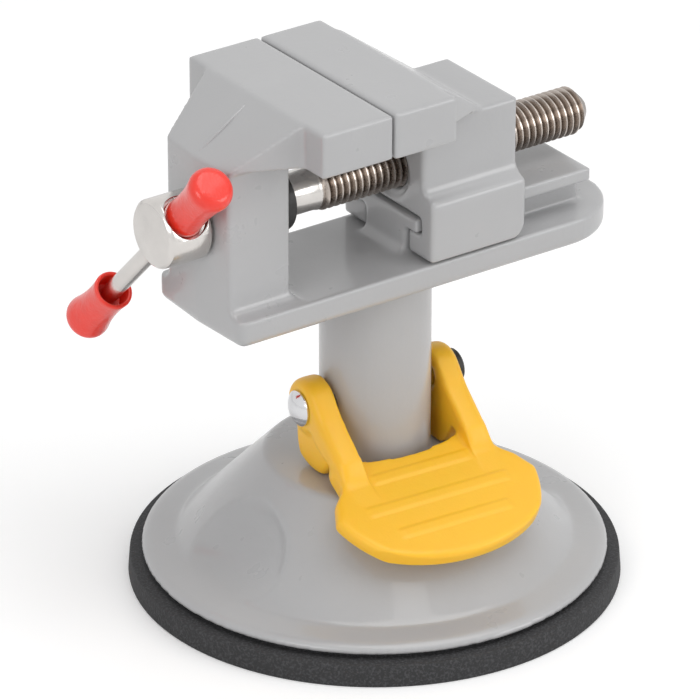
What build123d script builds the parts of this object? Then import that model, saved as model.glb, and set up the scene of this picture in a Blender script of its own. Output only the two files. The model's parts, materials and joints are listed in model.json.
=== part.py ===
from build123d import *
import os
from math import cos, pi, radians, sin, sqrt, tan

os.makedirs("parts", exist_ok=True)

# Small bench vise on a suction base, in millimetres. X runs along the lead
# screw from the handle end to the rear, Z is up, and the origin is the middle
# of the rubber disc's underside, on the axis of the column.

# ------------------------------------------------------------------ fits
fit = 0.02          # between fixed pieces
run = 0.06          # radial running clearance of shafts and pins
slide_gap = 0.3     # between the moving jaw and the rail
open_gap = 0.4      # under the jaw's legs, and between the closed jaws
cam_gap = 0.1       # under the cams

# ------------------------------------------------------------- rubber disc
cup_r = 40.0        # at the bench
cup_top_r = 39.7
cup_rim_h = 3.7     # outer rim
cup_lip = 7.0       # width of the ring that lies on the bench
cup_lift = 1.6      # hollow under the disc, inside that ring
cup_land_r = 36.4   # raised land that carries the bell
cup_land_in = 22.0  # where the middle starts to rise
cup_mid_r = 16.5
cup_mid_z = 5.0     # underside of the raised middle
cup_mid_t = 2.0     # rubber under the steel disc

# -------------------------------------------------------------- bell
seat_z = 4.4        # underside of the bell
rim_r = 37.8
rim_in = 0.9        # by which the rim's top edge stands in from its side
rim_side = 0.9      # straight part of the rim's side
crease_r = 32.1     # where the cone rises from the rim
crease_z = 6.5
hub_r = 17.8
hub_z = 21.5
bell_wall = 2.4
hub_t = 4.5
pocket_r = 22.0     # scooped pockets, cut by a bull-nosed cylinder
pocket_in = 21.1    # nearest point of a pocket to the column's axis
pocket_nose = 10.0

# -------------------------------------------------------------- column
column_r = 9.0
column_bore = 6.45
web_drop = 11.4     # web that the head's screw bears on, under the slab
web_t = 3.0

# -------------------------------------------------------- vise body
slab_z = 53.4
slab_t = 4.5
slab_w = 23.26
front_x = -34.15
slab_end = 30.8     # centre of the half-round rear end
draft = 2.7         # degrees, from the parting plane at Y = 0
block_w = 17.1
block_back = -22.3
jaw_w = 36.74
jaw_rise = 18.45    # jaws' top above the screw's axis
jaw_h = 7.5
jaw_front = -9.8    # gripping face of the fixed jaw
jaw_back = -22.9
neck_w = 26.6       # wedge behind the jaw, at the jaw
wedge_end = -34.16
corner = 1.6
under_round = 1.4   # front edge of the slab's underside
foot_round = 2.0

rail_x = 1.7
rail_end = 36.1
rail_w = 16.9
rail_web = 10.6
rail_under = 4.5    # from the slab's top to the flange
rail_t = 2.3
rail_foot = 1.8

# -------------------------------------------------------- lead screw
screw_rise = 6.45   # screw's axis above the rail
head_r = 5.6
head_len = 8.2
head_chamfer = 0.6
journal_r = 4.0
collar_r = 5.3
collar_len = 3.7
neck_r = 3.5
neck_end = -13.1
thread_r = 3.95
thread_start = -11.3
screw_end = 40.0
end_chamfer = 1.9

# -------------------------------------------------------- tommy bar
bar_r = 1.5
bar_tilt = 45.4     # degrees below the horizontal, towards +Y
cap_len = 12.6
cap_round = 1.6
cap_gap = 0.1       # from a cap to its seat in the screw's head
seat_out = 3.8      # cap seats in the head, from the screw's axis
seat_r = 3.7
bar_travel = 20.6
cap_rim_r = 3.2
cap_waist_r = 2.95
cap_end_r = 3.6
cap_mouth_r = 2.5
cap_mouth = 3.6
cap_grip = 10.0     # depth of the bar in a cap

# -------------------------------------------------------- moving jaw
travel = 25.0
m_jaw_t = 11.7
m_jaw_h = 7.6
body_w = 18.9
body_drop = 8.2     # body's top under the jaws' top
body_back = 20.6
m_neck_w = 27.2
m_wedge_end = 13.8
leg_w = 24.0
leg_h = 10.6        # legs' shoulder above the slab
flare_h = 2.9
leg_round = 2.4

# -------------------------------------------------------- lever and cams
pin_rise = 10.9     # pin's axis above the hub
lever_turn = -4.0   # degrees about the column, from the screw's axis to the pin's
pin_r = 2.0
arm_in = 9.6
arm_out = 14.0
cam_out = 13.0
eye_r = 4.7
lever_swing = 72.0  # degrees, short of where the web meets the column
lift = 3.2          # how far the post goes down over that swing
neck_y = -12.6      # where the arms run into the pad
pad_z = 24.7        # pad's top there
pad_slope = 21.0
pad_t = 2.8
pad_w = 37.0
pad_wide = 7.0      # widest place, down the slope
pad_len = 19.8
arm_slope = 39.0
arm_rise = 4.9      # arms' top edge above the pin's axis, over the pin
arm_depth = 4.8
arm_join_y = -6.2   # where the edge that runs off the eye meets it
eye_slope = 48.0    # degrees, slope of the edge that runs off the eye
web_y = -10.8       # edge between the arms, nearest the column
web_r = 32.0
web_reach = 4.0     # web above the neck, before its edge is cut
neck_half = 15.2    # half width of the pad where the arms leave it
arm_round = 1.5
cam_round = 1.2
pad_round = 0.9
hub_gap = 0.3       # under the lever's arms and pad
rivet_r = 2.95
rivet_h = 1.5
pin_cap_r = 2.9
pin_cap_h = 1.3

# -------------------------------------------------------- post and spring
insert_r = 12.0
insert_t = 1.6
post_spigot = 3.0
post_top = 4.4      # above the pin's axis
spring_r = 8.7
wire_r = 0.55
spring_turns = 4
bolt_r = 2.5
bolt_head_r = 4.3
bolt_head_h = 3.0
washer_t = 1.0
washer_r = 5.6
bolt_grip = 6.0     # thread in the head's spigot
spigot_len = 8.0

# ------------------------------------------------------------- derived
rim_top_r = rim_r - rim_in
slab_top = slab_z + slab_t
rail_z = slab_top + rail_under
rail_top = rail_z + rail_t
screw_z = rail_top + screw_rise
jaw_top = screw_z + jaw_rise
block_top = jaw_top - jaw_h
body_top = jaw_top - body_drop
leg_top = slab_top + leg_h
flare_top = leg_top + flare_h
web_z = slab_z - web_drop
pin_z = hub_z + pin_rise
insert_z = cup_mid_z + cup_mid_t
post_z = insert_z + insert_t
post_r = column_bore - run
m_front = jaw_front + open_gap
m_back = m_front + m_jaw_t
bar_dir = Vector(0, cos(radians(bar_tilt)), -sin(radians(bar_tilt)))
head_mid = front_x - head_len / 2
upper_rim = seat_out + cap_gap
lower_rim = upper_rim + bar_travel
screw_axis = Axis((0, 0, screw_z), (1, 0, 0))
pin_dir = Vector(cos(radians(lever_turn)), sin(radians(lever_turn)), 0)
pin_plane = Plane(origin=(0, 0, 0), x_dir=Vector(-pin_dir.Y, pin_dir.X, 0), z_dir=pin_dir)


# ----------------------------------------------------------- rubber disc
with BuildPart() as suction_cup:
    with BuildSketch(Plane.XZ):
        Polygon(
            (0, cup_mid_z), (cup_mid_r - 1.5, cup_mid_z),
            (cup_land_in + 1.5, cup_lift), (cup_r - cup_lip, cup_lift),
            (cup_r - cup_lip + cup_lift, 0), (cup_r, 0),
            (cup_top_r, cup_rim_h), (cup_land_r, cup_rim_h),
            (cup_land_r, seat_z), (cup_land_in, seat_z),
            (cup_mid_r, post_z), (insert_r + fit, post_z),
            (insert_r + fit, insert_z), (0, insert_z),
            align=None,
        )
    revolve(axis=Axis.Z)
suction_cup.part.label = "suction_cup"
export_step(suction_cup.part, "parts/suction_cup.step")

# steel disc set into the middle of the rubber
with BuildPart() as cup_insert:
    with BuildSketch(Plane.XY.offset(insert_z)):
        Circle(insert_r)
        Circle(post_spigot + fit, mode=Mode.SUBTRACT)
    extrude(amount=insert_t)
cup_insert.part.label = "cup_insert"
export_step(cup_insert.part, "parts/cup_insert.step")

# ------------------------------------------------- post and its spring
with BuildPart() as pull_rod:
    with BuildSketch(Plane.XY.offset(insert_z)):
        Circle(post_spigot)
    extrude(amount=insert_t)
    with BuildSketch(Plane.XY.offset(post_z)):
        Circle(post_r)
    extrude(amount=pin_z + post_top - post_z)
    chamfer(pull_rod.edges().group_by(Axis.Z)[-1], length=0.6)
    with BuildSketch(pin_plane.offset(-post_r - 1)):
        with Locations((0, pin_z)):
            Circle(pin_r + fit)
    extrude(amount=2 * post_r + 2, mode=Mode.SUBTRACT)
pull_rod.part.label = "pull_rod"
export_step(pull_rod.part, "parts/pull_rod.step")

spring_low = post_z + wire_r + fit
spring_high = hub_z - hub_t - wire_r - fit
with BuildPart() as return_spring:
    with BuildLine(Plane.XY.offset(spring_low)) as coil:
        Helix((spring_high - spring_low) / spring_turns, spring_high - spring_low, spring_r)
    with BuildSketch(Plane(origin=coil.line @ 0, z_dir=coil.line % 0)):
        Circle(wire_r)
    sweep(is_frenet=True)
return_spring.part.label = "return_spring"
export_step(return_spring.part, "parts/return_spring.step")

# ------------------------------------------------------- bell and column
cone_slope = (crease_r - hub_r) / (hub_z - crease_z)
wall_side = bell_wall * sqrt(1 + cone_slope ** 2)
void_top = hub_z - hub_t

with BuildPart() as bell_void:
    with BuildSketch(Plane.XZ):
        Polygon(
            (0, seat_z), (crease_r + cone_slope * (crease_z - seat_z) - wall_side, seat_z),
            (crease_r - cone_slope * (void_top - crease_z) - wall_side, void_top),
            (0, void_top),
            align=None,
        )
    revolve(axis=Axis.Z)
    for side in (-1, 1):
        with BuildPart(mode=Mode.PRIVATE) as pocket_wall:
            with BuildSketch(Plane.XY.offset(seat_z)):
                with Locations((side * (pocket_in + pocket_r), 0)):
                    Circle(pocket_r + bell_wall)
            extrude(amount=hub_z)
            fillet(pocket_wall.edges().group_by(Axis.Z)[0], pocket_nose + bell_wall)
        add(pocket_wall.part, mode=Mode.SUBTRACT)

with BuildPart() as base_casting:
    with BuildSketch(Plane.XZ):
        Polygon(
            (0, seat_z), (rim_r, seat_z), (rim_r, seat_z + rim_side),
            (rim_top_r, seat_z + rim_side + 0.7), (crease_r, crease_z),
            (hub_r, hub_z), (column_r, hub_z), (column_r, slab_z), (0, slab_z),
            align=None,
        )
    revolve(axis=Axis.Z)
    # the hub's edge and the rim's edge are softened
    fillet(
        base_casting.edges().filter_by(GeomType.CIRCLE).filter_by(
            lambda e: abs(e.radius - hub_r) < 0.01 or abs(e.radius - rim_top_r) < 0.01
        ),
        0.6,
    )
    for side in (-1, 1):
        with BuildPart(mode=Mode.PRIVATE) as pocket:
            with BuildSketch(Plane.XY.offset(crease_z)):
                with Locations((side * (pocket_in + pocket_r), 0)):
                    Circle(pocket_r)
            extrude(amount=hub_z)
            fillet(pocket.edges().group_by(Axis.Z)[0], pocket_nose)
        add(pocket.part, mode=Mode.SUBTRACT)
    add(bell_void.part, mode=Mode.SUBTRACT)
    # bores above and below the web
    with BuildSketch(Plane.XY.offset(void_top)):
        Circle(column_bore)
    extrude(amount=web_z - void_top, mode=Mode.SUBTRACT)
    with BuildSketch(Plane.XY.offset(web_z)):
        Circle(bolt_r + 0.3)
    extrude(amount=web_t, mode=Mode.SUBTRACT)
    with BuildSketch(Plane.XY.offset(web_z + web_t)):
        Circle(column_bore)
    extrude(amount=slab_z - web_z - web_t, mode=Mode.SUBTRACT)
    # slots that the pin rides in
    with BuildSketch(pin_plane.offset(-column_r - 1)):
        with Locations((0, pin_z - lift / 2)):
            SlotCenterToCenter(lift + 0.4, 2 * (pin_r + 0.15), rotation=90)
    extrude(amount=2 * column_r + 2, mode=Mode.SUBTRACT)
base_casting.part.label = "base_casting"
export_step(base_casting.part, "parts/base_casting.step")

# ------------------------------------------------------------ vise body
half = slab_w / 2
lean = tan(radians(draft))
with BuildPart() as fixed_wedge:
    # wedge behind the fixed jaw, narrowing to the block's front
    with BuildSketch(Plane.XZ):
        Polygon(
            (jaw_back + 1, block_top), (jaw_back + 1, jaw_top),
            (jaw_back, jaw_top), (wedge_end, block_top),
            align=None,
        )
    extrude(amount=neck_w / 2, both=True)
    with BuildSketch(Plane.XY.offset(block_top)):
        Polygon(
            (jaw_back + 1, -neck_w / 2), (jaw_back + 1, neck_w / 2), (jaw_back, neck_w / 2),
            (front_x + block_w / 2 * lean, block_w / 2), (front_x, 0),
            (front_x + block_w / 2 * lean, -block_w / 2), (jaw_back, -neck_w / 2),
            align=None,
        )
    extrude(amount=jaw_h, mode=Mode.INTERSECT)

with BuildPart() as vise_body:
    with BuildSketch(Plane.XY.offset(slab_z)):
        Polygon(
            (front_x, 0), (front_x + half * lean, -half), (slab_end, -half),
            (slab_end, half), (front_x + half * lean, half),
            align=None,
        )
        with Locations((slab_end, 0)):
            Circle(half)
    extrude(amount=slab_t)
    fillet(
        vise_body.edges().filter_by(Axis.Z).group_by(Axis.X)[1],
        corner,
    )
    fillet(
        vise_body.edges().group_by(Axis.Z)[0].filter_by(
            lambda e: e.center().X < front_x + 3
        ),
        under_round,
    )
    with BuildSketch(Plane.XY.offset(slab_top)):
        Polygon(
            (front_x, 0), (front_x + block_w / 2 * lean, -block_w / 2),
            (block_back, -block_w / 2), (block_back, block_w / 2),
            (front_x + block_w / 2 * lean, block_w / 2),
            align=None,
        )
    extrude(amount=block_top - slab_top)
    fillet(
        vise_body.edges().filter_by(
            lambda e: abs(e.center().Z - slab_top) < 0.01
            and block_back - 3 - block_w < e.center().X < block_back + 0.1
            and abs(e.center().Y) < block_w / 2 + 0.1
            and front_x + 3 < e.center().X
        ),
        foot_round,
    )
    add(fixed_wedge.part)
    with BuildSketch(Plane.XY.offset(block_top)):
        with Locations(((jaw_front + jaw_back) / 2, 0)):
            Rectangle(jaw_front - jaw_back, jaw_w)
    extrude(amount=jaw_h)
    # T-shaped rail
    with BuildSketch(Plane.YZ.offset(rail_x)):
        with Locations((0, slab_top + rail_under / 2)):
            Rectangle(rail_web, rail_under)
        with Locations((0, rail_z + rail_t / 2)):
            Rectangle(rail_w, rail_t)
    extrude(amount=rail_end - rail_x)
    fillet(
        vise_body.edges().filter_by(Axis.Y).filter_by(
            lambda e: abs(e.center().X - rail_x) < 0.01 and abs(e.center().Z - slab_top) < 0.01
        ),
        rail_foot,
    )
    # bearing for the screw
    with BuildSketch(Plane.YZ.offset(front_x - 1)):
        with Locations((0, screw_z)):
            Circle(journal_r + run)
    extrude(amount=block_back - front_x + 2, mode=Mode.SUBTRACT)
    # spigot in the column, with the thread for its screw
    with BuildSketch(Plane.XY.offset(slab_z)):
        Circle(column_bore - fit)
    extrude(amount=-spigot_len)
    with BuildSketch(Plane.XY.offset(slab_z - spigot_len)):
        Circle(bolt_r + fit)
    extrude(amount=bolt_grip + 0.5, mode=Mode.SUBTRACT)
vise_body.part.label = "vise_body"
export_step(vise_body.part, "parts/vise_body.step")

# -------------------------------------------------- screw under the head
bolt_low = web_z - washer_t - bolt_head_h
with BuildPart() as head_screw:
    with BuildSketch(Plane.XY.offset(bolt_low)):
        Circle(bolt_head_r)
        RegularPolygon(2.0, 6, mode=Mode.SUBTRACT)
    extrude(amount=bolt_head_h - 1.2)
    with BuildSketch(Plane.XY.offset(bolt_low + bolt_head_h - 1.2)):
        Circle(bolt_head_r)
    extrude(amount=1.2)
    with BuildSketch(Plane.XY.offset(web_z - washer_t)):
        Circle(bolt_r)
    extrude(amount=slab_z - spigot_len + bolt_grip - web_z + washer_t)
head_screw.part.label = "head_screw"
export_step(head_screw.part, "parts/head_screw.step")

with BuildPart() as head_washer:
    with BuildSketch(Plane.XY.offset(web_z - washer_t)):
        Circle(washer_r)
        Circle(bolt_r + 0.2, mode=Mode.SUBTRACT)
    extrude(amount=washer_t)
head_washer.part.label = "head_washer"
export_step(head_washer.part, "parts/head_washer.step")

# ------------------------------------------------------------ lead screw
collar_x = block_back + 0.1
with BuildPart() as lead_screw:
    with BuildSketch(Plane.XZ):
        with Locations((0, screw_z)):
            Polygon(
                (front_x - head_len, 0), (front_x - head_len, head_r - head_chamfer),
                (front_x - head_len + head_chamfer, head_r),
                (front_x - 0.1 - head_chamfer, head_r),
                (front_x - 0.1, head_r - head_chamfer), (front_x - 0.1, journal_r),
                (collar_x + collar_len, journal_r), (collar_x + collar_len, neck_r),
                (neck_end, neck_r), (thread_start, thread_r),
                (screw_end - end_chamfer, thread_r), (screw_end, thread_r - end_chamfer),
                (screw_end, 0),
                align=None,
            )
    revolve(axis=screw_axis)
    with BuildSketch(Plane(origin=(head_mid, 0, screw_z), z_dir=bar_dir)):
        Circle(bar_r + run)
    extrude(amount=head_r + 1, both=True, mode=Mode.SUBTRACT)
    # a seat for each cap, where the bar comes out of the head
    for way in (-1, 1):
        with BuildSketch(
            Plane(origin=(head_mid, 0, screw_z), z_dir=bar_dir * way).offset(seat_out)
        ):
            Circle(seat_r)
        extrude(amount=head_r, mode=Mode.SUBTRACT)
lead_screw.part.label = "lead_screw"
export_step(lead_screw.part, "parts/lead_screw.step")

with BuildPart() as thrust_collar:
    with BuildSketch(Plane.YZ.offset(collar_x)):
        with Locations((0, screw_z)):
            Circle(collar_r)
            Circle(journal_r + fit, mode=Mode.SUBTRACT)
    extrude(amount=collar_len)
    fillet(
        thrust_collar.edges().filter_by(GeomType.CIRCLE).filter_by(
            lambda e: abs(e.radius - collar_r) < 0.01
        ),
        0.4,
    )
thrust_collar.part.label = "thrust_collar"
export_step(thrust_collar.part, "parts/thrust_collar.step")

# ------------------------------------------------------------- tommy bar
bar_plane = Plane(origin=(head_mid, 0, screw_z), x_dir=(1, 0, 0), z_dir=bar_dir)
with BuildPart() as tommy_bar:
    with BuildSketch(bar_plane.offset(-(upper_rim + cap_grip))):
        Circle(bar_r)
    extrude(amount=upper_rim + lower_rim + 2 * cap_grip)
    chamfer(tommy_bar.edges().filter_by(GeomType.CIRCLE), length=0.3)
tommy_bar.part.label = "tommy_bar"
export_step(tommy_bar.part, "parts/tommy_bar.step")


def bar_cap(rim: float, way: int) -> Part:
    """Cap whose open rim is at the distance `rim` along the bar, pointing `way`."""
    seat = Plane(origin=(head_mid, 0, screw_z), x_dir=(1, 0, 0), z_dir=bar_dir * way).offset(rim)
    with BuildPart() as cap:
        with BuildSketch(Plane.XZ):
            with BuildLine():
                l1 = Line((cap_mouth_r, 0), (cap_rim_r, 0))
                l2 = ThreePointArc(
                    l1 @ 1, (cap_waist_r, cap_len * 0.36), (cap_end_r, cap_len * 0.84)
                )
                Polyline(
                    l2 @ 1, (cap_end_r, cap_len), (0, cap_len), (0, cap_grip + fit),
                    (bar_r + fit, cap_grip + fit), (bar_r + fit, cap_mouth),
                    (cap_mouth_r, cap_mouth), l1 @ 0,
                )
            make_face()
        revolve(axis=Axis.Z)
        fillet(cap.edges().filter_by(GeomType.CIRCLE).group_by(Axis.Z)[-1], cap_round)
    return cap.part.moved(seat.location)


bar_cap_upper = bar_cap(upper_rim, -1)
bar_cap_upper.label = "bar_cap_upper"
export_step(bar_cap_upper, "parts/bar_cap_upper.step")

bar_cap_lower = bar_cap(lower_rim, 1)
bar_cap_lower.label = "bar_cap_lower"
export_step(bar_cap_lower, "parts/bar_cap_lower.step")

# ------------------------------------------------------------ moving jaw
leg_low = slab_top + open_gap
with BuildPart() as moving_wedge:
    with BuildSketch(Plane.XZ):
        Polygon(
            (m_back - 1, body_top), (m_back - 1, jaw_top), (m_back, jaw_top),
            (m_wedge_end, body_top),
            align=None,
        )
    extrude(amount=m_neck_w / 2, both=True)
    with BuildSketch(Plane.XY.offset(body_top)):
        Polygon(
            (m_back - 1, -m_neck_w / 2), (m_back - 1, m_neck_w / 2), (m_back, m_neck_w / 2),
            (m_wedge_end, body_w / 2), (m_wedge_end, -body_w / 2), (m_back, -m_neck_w / 2),
            align=None,
        )
    extrude(amount=jaw_top - body_top, mode=Mode.INTERSECT)

with BuildPart() as moving_jaw:
    # body and legs, one section along the rail
    with BuildSketch(Plane.YZ.offset(m_back)):
        with BuildLine():
            b1 = Polyline((0, leg_low), (leg_w / 2, leg_low), (leg_w / 2, leg_top - 0.8))
            b2 = ThreePointArc(
                b1 @ 1, (leg_w / 2 - 0.3, leg_top - 0.15), (leg_w / 2 - 0.9, leg_top + 0.2)
            )
            b3 = ThreePointArc(
                b2 @ 1, (body_w / 2 + 0.35, leg_top + 1.1), (body_w / 2, flare_top)
            )
            b4 = Polyline(b3 @ 1, (body_w / 2, body_top), (0, body_top), (0, leg_low))
        make_face()
        mirror(about=Plane.YZ)
        with Locations((0, leg_low)):
            Rectangle(
                rail_web + 2 * slide_gap, rail_under - open_gap + 0.1,
                align=(Align.CENTER, Align.MIN), mode=Mode.SUBTRACT,
            )
        with Locations((0, rail_z - slide_gap)):
            Rectangle(
                rail_w + 2 * slide_gap, rail_t + 2 * slide_gap,
                align=(Align.CENTER, Align.MIN), mode=Mode.SUBTRACT,
            )
    extrude(amount=body_back - m_back)
    # rounded lower rear corners of the legs
    fillet(
        moving_jaw.edges().filter_by(Axis.Y).filter_by(
            lambda e: abs(e.center().Z - leg_low) < 0.01 and e.center().X > body_back - 0.1
        ),
        leg_round,
    )
    add(moving_wedge.part)
    with BuildSketch(Plane.XY.offset(jaw_top - m_jaw_h)):
        with Locations(((m_front + m_back) / 2, 0)):
            Rectangle(m_jaw_t, jaw_w)
    extrude(amount=m_jaw_h)
    with BuildSketch(Plane.YZ.offset(m_back - 1)):
        with Locations((0, screw_z)):
            Circle(thread_r + run)
    extrude(amount=body_back - m_back + 2, mode=Mode.SUBTRACT)
    with BuildSketch(Plane.YZ.offset(m_back)):
        with Locations((0, screw_z)):
            Circle(5.4)
    extrude(amount=0.8, mode=Mode.SUBTRACT)
moving_jaw.part.label = "moving_jaw"
export_step(moving_jaw.part, "parts/moving_jaw.step")

# ------------------------------------------------------------- pivot pin
with BuildPart() as pivot_pin:
    with BuildSketch(Plane.XZ):
        with BuildLine():
            p1 = ThreePointArc(
                (-arm_out - run - rivet_h, 0),
                (-arm_out - run - rivet_h * 0.72, rivet_r * 0.62),
                (-arm_out - run - 0.3, rivet_r),
            )
            p2 = Polyline(
                p1 @ 1, (-arm_out - run, rivet_r), (-arm_out - run, pin_r),
                (arm_out + run + pin_cap_h - 0.5, pin_r), (arm_out + run + pin_cap_h - 0.5, 0), p1 @ 0,
            )
        make_face()
    revolve(axis=Axis.X)
pivot_pin.part.locate(Location((0, 0, pin_z), (0, 0, lever_turn)))
pivot_pin.part.label = "pivot_pin"
export_step(pivot_pin.part, "parts/pivot_pin.step")

with BuildPart() as pin_cap:
    with BuildSketch(Plane.YZ.offset(arm_out + run)):
        with Locations((0, pin_z)):
            Circle(pin_cap_r)
    extrude(amount=pin_cap_h)
    chamfer(pin_cap.edges().group_by(Axis.X)[-1], length=0.3)
    with BuildSketch(Plane.YZ.offset(arm_out + run)):
        with Locations((0, pin_z)):
            Circle(pin_r + fit)
    extrude(amount=pin_cap_h - 0.5 + fit, mode=Mode.SUBTRACT)
pin_cap.part.locate(Location((0, 0, 0), (0, 0, lever_turn)))
pin_cap.part.label = "pin_cap"
export_step(pin_cap.part, "parts/pin_cap.step")

# ----------------------------------------------------------------- lever
# A cam is a lobe under the pin, bounded by a circle set off from the pin. Its
# reach falls evenly as the lever rises, by the distance that the post goes down.
half_swing = radians(lever_swing) / 2
cam_lift = lift / radians(lever_swing)
cam_y = -cam_lift * half_swing / tan(half_swing)
cam_z = pin_z - cam_lift * half_swing
cam_r = cam_z - cam_gap - hub_z
arm_grade = tan(radians(arm_slope))
pad_grade = tan(radians(pad_slope))
arm_w = arm_out - arm_in


def arm_height(y: float) -> float:
    """Height of the arms' top edge at y."""
    return pin_z + arm_rise + y * arm_grade


# where the arms' top meets the pad's top
bend_y = neck_y - (arm_height(neck_y) - pad_z) / (arm_grade - pad_grade)
bend_z = arm_height(bend_y)
skin = pad_t / cos(radians(arm_slope))

pad_plane = Plane(
    origin=(0, neck_y, pad_z), x_dir=(1, 0, 0),
    z_dir=(0, -sin(radians(pad_slope)), cos(radians(pad_slope))),
)


def lever_arm(side: int) -> Part:
    """Arm with its eye, on the side of +X or -X."""
    with BuildPart() as arm:
        with BuildSketch(Plane.YZ.offset(side * arm_in)):
            with BuildLine():
                Polyline(
                    (0, pin_z),
                    (-eye_r * sin(radians(eye_slope)), pin_z + eye_r * cos(radians(eye_slope))),
                    (arm_join_y, arm_height(arm_join_y)), (bend_y, bend_z),
                    (bend_y, bend_z - skin), (neck_y + 4.6, arm_height(neck_y + 4.6) - arm_depth),
                    (-4.4, pin_z - 5.0), (0, pin_z),
                )
            make_face()
            with Locations((0, pin_z)):
                Circle(eye_r)
        extrude(amount=side * arm_w)
        outer = arm.faces().sort_by(Axis.X)[-1 if side > 0 else 0]
        fillet(
            outer.edges().filter_by(lambda e: e.center().Z > arm_height(e.center().Y) - 0.8),
            arm_round,
        )
    return arm.part


def lever_cam(side: int) -> Part:
    """Cam beside the column, under the eye."""
    with BuildPart() as cam:
        with BuildSketch(Plane.YZ.offset(side * arm_in)):
            with BuildLine():
                c1 = ThreePointArc((1.6, hub_z), (2.9, hub_z + 2.5), (3.4, hub_z + 5.5))
                c2 = Polyline(
                    c1 @ 1, (3.6, pin_z + 1.0), (-3.4, pin_z + 2.0), (-7.6, hub_z + 4.7)
                )
                c3 = ThreePointArc(c2 @ 1, (-6.0, hub_z + 2.0), (-4.0, hub_z))
                Line(c3 @ 1, c1 @ 0)
            make_face()
            with Locations((cam_y, cam_z)):
                Circle(cam_r, mode=Mode.INTERSECT)
        extrude(amount=side * (cam_out - arm_in))
        outer = cam.faces().sort_by(Axis.X)[-1 if side > 0 else 0]
        fillet(outer.edges().filter_by(GeomType.CIRCLE), cam_round)
    return cam.part


with BuildPart() as lever:
    # pad, drawn in its own plane: local y runs up the slope
    with BuildSketch(pad_plane):
        with BuildLine():
            e1 = Line((0, web_reach), (arm_out - 0.3, web_reach))
            e2 = Line(e1 @ 1, (neck_half, 0.2))
            e3 = TangentArc(e2 @ 1, (pad_w / 2, -pad_wide), tangent=e2 % 1)
            e4 = ThreePointArc(
                e3 @ 1, (pad_w / 2 - 1.1, -pad_wide - 3.7), (pad_w / 2 - 4.4, -pad_len + 3.8)
            )
            e5 = ThreePointArc(
                e4 @ 1, (pad_w / 4 - 1.6, -pad_len + 1.0), (0, -pad_len)
            )
            Line(e5 @ 1, e1 @ 0)
        make_face()
        mirror(about=Plane.YZ)
    extrude(amount=-pad_t)
    layers = lever.edges().group_by(Axis((0, 0, 0), pad_plane.z_dir))
    fillet(
        (layers[0] + layers[-1]).filter_by(
            lambda e: (e.center() - pad_plane.origin).dot(pad_plane.y_dir) < web_reach - 0.1
        ),
        pad_round,
    )
    # round edge that faces the column
    with BuildSketch(Plane.XY):
        with Locations((0, web_y + web_r)):
            Circle(web_r)
    extrude(amount=pin_z + 20, mode=Mode.SUBTRACT)
    add(lever_arm(-1))
    add(lever_arm(1))
    # the underside clears the hub and the cone below it
    with BuildSketch(Plane.XZ):
        Polygon(
            (0, 0), (hub_r + 0.5 + cone_slope * hub_z, 0), (hub_r + 0.5, hub_z + hub_gap),
            (0, hub_z + hub_gap),
            align=None,
        )
    revolve(axis=Axis.Z, mode=Mode.SUBTRACT)
    add(lever_cam(-1))
    add(lever_cam(1))
    with BuildSketch(Plane.YZ.offset(-arm_out - 1)):
        with Locations((0, pin_z)):
            Circle(pin_r + run)
    extrude(amount=2 * arm_out + 2, mode=Mode.SUBTRACT)
lever.part.locate(Location((0, 0, 0), (0, 0, lever_turn)))
lever.part.label = "lever"
export_step(lever.part, "parts/lever.step")
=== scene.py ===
"""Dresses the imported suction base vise: soft castings, a cut thread, finishes and a studio."""

from __future__ import annotations

import json
import logging
import math
import sys
from dataclasses import dataclass, field
from enum import Enum
from typing import Any, Iterator

import bmesh
import bpy
from mathutils import Matrix, Vector

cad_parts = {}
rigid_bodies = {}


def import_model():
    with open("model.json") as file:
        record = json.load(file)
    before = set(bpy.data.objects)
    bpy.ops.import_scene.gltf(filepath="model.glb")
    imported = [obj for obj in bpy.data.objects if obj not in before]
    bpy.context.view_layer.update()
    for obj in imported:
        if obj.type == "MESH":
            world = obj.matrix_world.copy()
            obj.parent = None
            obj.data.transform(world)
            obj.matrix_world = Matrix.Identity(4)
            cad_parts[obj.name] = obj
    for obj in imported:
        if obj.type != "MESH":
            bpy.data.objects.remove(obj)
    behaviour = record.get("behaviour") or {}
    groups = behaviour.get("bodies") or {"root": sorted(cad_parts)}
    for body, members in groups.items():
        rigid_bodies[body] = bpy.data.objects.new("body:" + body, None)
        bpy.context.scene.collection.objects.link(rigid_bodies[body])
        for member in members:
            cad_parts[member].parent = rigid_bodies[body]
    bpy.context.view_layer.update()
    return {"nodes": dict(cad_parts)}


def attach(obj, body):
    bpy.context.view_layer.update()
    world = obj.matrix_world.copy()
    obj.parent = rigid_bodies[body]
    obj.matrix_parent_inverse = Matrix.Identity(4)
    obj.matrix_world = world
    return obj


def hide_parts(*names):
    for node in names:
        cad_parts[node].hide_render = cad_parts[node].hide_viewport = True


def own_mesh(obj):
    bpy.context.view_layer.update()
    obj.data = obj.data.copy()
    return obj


log = logging.getLogger("vise")

Colour = tuple[float, float, float, float]
Point = tuple[float, float, float]

MM = 0.001
SCREW_Z = 71.15 * MM  # height of the screw's axis
PIN_Z = 32.4 * MM  # height of the lever's pin
WELD = 2e-6  # points closer than this, in metres, become one
FLAT = math.radians(0.3)  # faces that differ by less are parts of one flat face
CLOUD_RANGE = (0.2, 0.8)  # what the values of soft_clouds mostly stay within
WHITE: Colour = (1.0, 1.0, 1.0, 1.0)


class Slot(Enum):
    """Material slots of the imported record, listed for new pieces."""

    GREY_PAINT = "grey_paint"
    YELLOW_LEVER = "yellow_paint"
    NICKEL = "nickel"
    RED_CAP = "red_cap"
    RUBBER = "cup_rubber"


class Body(Enum):
    """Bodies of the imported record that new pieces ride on."""

    BASE = "base"
    JAW = "jaw"
    SCREW = "screw"
    BAR = "bar"
    LEVER = "lever_body"


# --------------------------------------------------------------------- tools


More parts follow.
